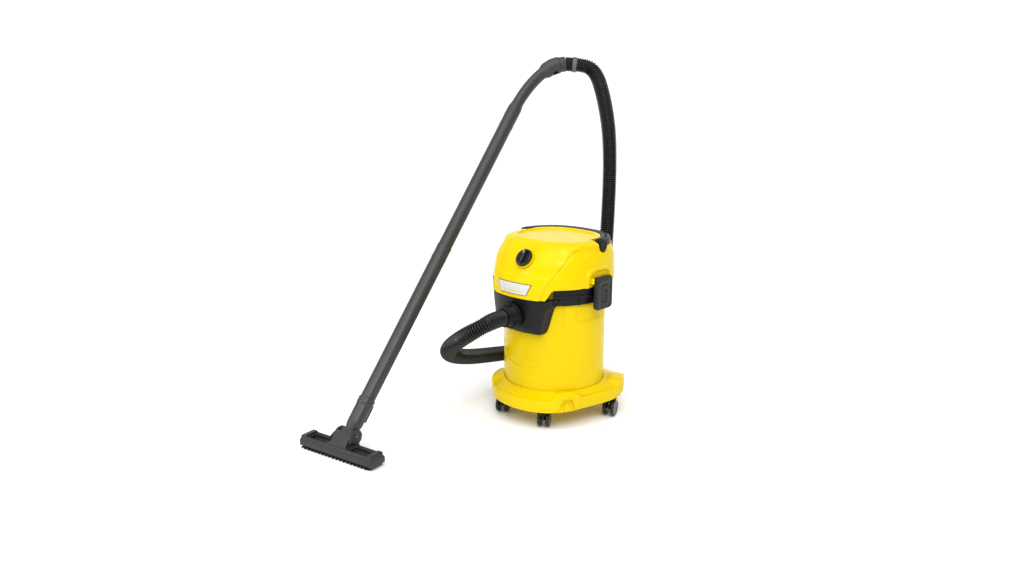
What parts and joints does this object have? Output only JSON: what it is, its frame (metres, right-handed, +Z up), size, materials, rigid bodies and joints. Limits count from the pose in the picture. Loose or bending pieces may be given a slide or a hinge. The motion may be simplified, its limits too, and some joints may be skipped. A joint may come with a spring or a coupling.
{
  "type": "shop vacuum",
  "caption": "Compact wet-and-dry shop vacuum on casters with lift-off motor head, cartridge filter, corrugated hose, two-piece wand and floor nozzle.",
  "frame": {"origin": "on the floor, on the container's upright axis", "axes": "+Z up; -Y is the front with the hose inlet and the rotary switch; +Y is the rear with the blower port; +X is the vacuum's left-hand side seen from its rear"},
  "size_m": [0.4912, 1.0477, 0.9551],
  "materials": {
    "yellow_abs": "semi-gloss moulded",
    "black_plastic": "satin moulded",
    "black_gloss": "gloss moulded",
    "grey_plastic": "fine-textured moulded",
    "hose_plastic": "satin corrugated",
    "ring_grey": "satin moulded",
    "badge_grey": "printed plate, no lettering",
    "seal_rubber": "matte",
    "strip_rubber": "matte",
    "screw_steel": "zinc plated",
    "motor_iron": "bare laminations",
    "filter_fabric": "pleated",
    "foam": "open foam",
    "fan_alloy": "pressed"
  },
  "bodies": {
    "base": {"chassis_base": "yellow_abs", "container_tub": "yellow_abs", "rim_band": "black_plastic", "inlet_housing": "black_plastic", "inlet_collar": "black_plastic", "inlet_deflector": "black_plastic", "housing_screws": "screw_steel", "hose_tube": "hose_plastic", "hose_connector": "black_plastic", "hose_cuff": "hose_plastic", "swivel_ring": "ring_grey"},
    "wand": {"grip_handle": "grey_plastic", "upper_tube": "grey_plastic", "lower_tube": "grey_plastic", "nozzle_neck": "grey_plastic", "parking_clip": "grey_plastic"},
    "button": {"release_button": "ring_grey"},
    "nozzle": {"nozzle_body": "grey_plastic", "front_strip": "strip_rubber", "rear_strip": "strip_rubber", "nozzle_pin": "screw_steel"},
    "head": {"head_cover": "yellow_abs", "head_base": "black_plastic", "head_gasket": "seal_rubber", "badge_plate": "badge_grey", "filter_cage": "black_plastic", "motor_housing": "black_plastic", "motor_stator": "motor_iron", "motor_bearings": "screw_steel", "exhaust_foam": "foam", "switch_module": "black_plastic", "cable_gland": "seal_rubber", "cable_hook": "black_plastic", "blower_port": "black_plastic", "head_screws": "screw_steel", "latch_pins": "screw_steel", "handle_pins": "black_plastic"},
    "rotor": {"motor_shaft": "screw_steel", "motor_armature": "motor_iron", "fan_impeller": "fan_alloy"},
    "float": {"float_cup": "black_plastic"},
    "filter": {"filter_media": "filter_fabric", "filter_top_cap": "badge_grey", "filter_bottom_cap": "badge_grey"},
    "filter_lock": {"filter_lock": "black_plastic"},
    "handle": {"carry_handle": "black_plastic"},
    "knob": {"switch_knob": "black_gloss"},
    "latch_left": {"latch_left": "black_plastic"},
    "latch_right": {"latch_right": "black_plastic"},
    "fork_front_right": {"caster_fork_front_right": "black_gloss"},
    "wheels_front_right": {"caster_wheels_front_right": "black_gloss"},
    "fork_front_left": {"caster_fork_front_left": "black_gloss"},
    "wheels_front_left": {"caster_wheels_front_left": "black_gloss"},
    "fork_rear_right": {"caster_fork_rear_right": "black_gloss"},
    "wheels_rear_right": {"caster_wheels_rear_right": "black_gloss"},
    "fork_rear_left": {"caster_fork_rear_left": "black_gloss"},
    "wheels_rear_left": {"caster_wheels_rear_left": "black_gloss"}
  },
  "joints": [
    {"name": "head_lift", "type": "slide", "parent": "base", "child": "head", "axis": [0, 0, 1], "range_m": [0, 0.24]},
    {"name": "wand_swivel", "type": "hinge", "parent": "base", "child": "wand", "pos_m": [-0.25496, 0.3394, 0.93205], "axis": [0.7642, 0.6412, -0.0698], "range_deg": [-60, 0]},
    {"name": "nozzle_tilt", "type": "hinge", "parent": "wand", "child": "nozzle", "pos_m": [-0.182, -0.564, 0.045], "axis": [0.9877, 0.1564, 0], "range_deg": [-25, 30]},
    {"name": "button_press", "type": "slide", "parent": "wand", "child": "button", "axis": [-0.3604, 0.5142, 0.7782], "range_m": [0, 0.002], "stiffness_N_per_m": 500},
    {"name": "rotor_spin", "type": "hinge", "parent": "head", "child": "rotor", "pos_m": [0, 0, 0.43], "axis": [0, 0, 1], "continuous": true},
    {"name": "float_rise", "type": "slide", "parent": "head", "child": "float", "axis": [0, 0, 1], "range_m": [0, 0.06]},
    {"name": "filter_pull", "type": "slide", "parent": "head", "child": "filter", "axis": [0, 0, -1], "range_m": [0, 0.12]},
    {"name": "filter_lock_turn", "type": "hinge", "parent": "filter", "child": "filter_lock", "pos_m": [0, 0, 0.245], "axis": [0, 0, 1], "range_deg": [0, 90]},
    {"name": "handle_fold", "type": "hinge", "parent": "head", "child": "handle", "pos_m": [0, 0.028, 0.477], "axis": [1, 0, 0], "range_deg": [0, 90]},
    {"name": "switch_turn", "type": "hinge", "parent": "head", "child": "knob", "pos_m": [0.016, -0.1386, 0.452], "axis": [0, -0.788, 0.6157], "range_deg": [-90, 0]},
    {"name": "latch_left_swing", "type": "hinge", "parent": "head", "child": "latch_left", "pos_m": [-0.158, 0, 0.397], "axis": [0, 1, 0], "range_deg": [0, 30]},
    {"name": "latch_right_swing", "type": "hinge", "parent": "head", "child": "latch_right", "pos_m": [0.158, 0, 0.397], "axis": [0, -1, 0], "range_deg": [0, 30]},
    {"name": "swivel_front_right", "type": "hinge", "parent": "base", "child": "fork_front_right", "pos_m": [0.076, -0.132, 0.05], "axis": [0, 0, 1], "continuous": true},
    {"name": "roll_front_right", "type": "hinge", "parent": "fork_front_right", "child": "wheels_front_right", "pos_m": [0.066, -0.11468, 0.0225], "axis": [-0.866, -0.5, 0], "continuous": true},
    {"name": "swivel_front_left", "type": "hinge", "parent": "base", "child": "fork_front_left", "pos_m": [-0.076, -0.132, 0.05], "axis": [0, 0, 1], "continuous": true},
    {"name": "roll_front_left", "type": "hinge", "parent": "fork_front_left", "child": "wheels_front_left", "pos_m": [-0.08477, -0.11402, 0.0225], "axis": [-0.8988, -0.4384, 0], "continuous": true},
    {"name": "swivel_rear_right", "type": "hinge", "parent": "base", "child": "fork_rear_right", "pos_m": [0.143, 0.084, 0.05], "axis": [0, 0, 1], "continuous": true},
    {"name": "roll_rear_right", "type": "hinge", "parent": "fork_rear_right", "child": "wheels_rear_right", "pos_m": [0.14885, 0.06487, 0.0225], "axis": [0.9563, 0.2924, 0], "continuous": true},
    {"name": "swivel_rear_left", "type": "hinge", "parent": "base", "child": "fork_rear_left", "pos_m": [-0.143, 0.084, 0.05], "axis": [0, 0, 1], "continuous": true},
    {"name": "roll_rear_left", "type": "hinge", "parent": "fork_rear_left", "child": "wheels_rear_left", "pos_m": [-0.13361, 0.10166, 0.0225], "axis": [-0.8829, 0.4695, 0], "continuous": true}
  ]
}
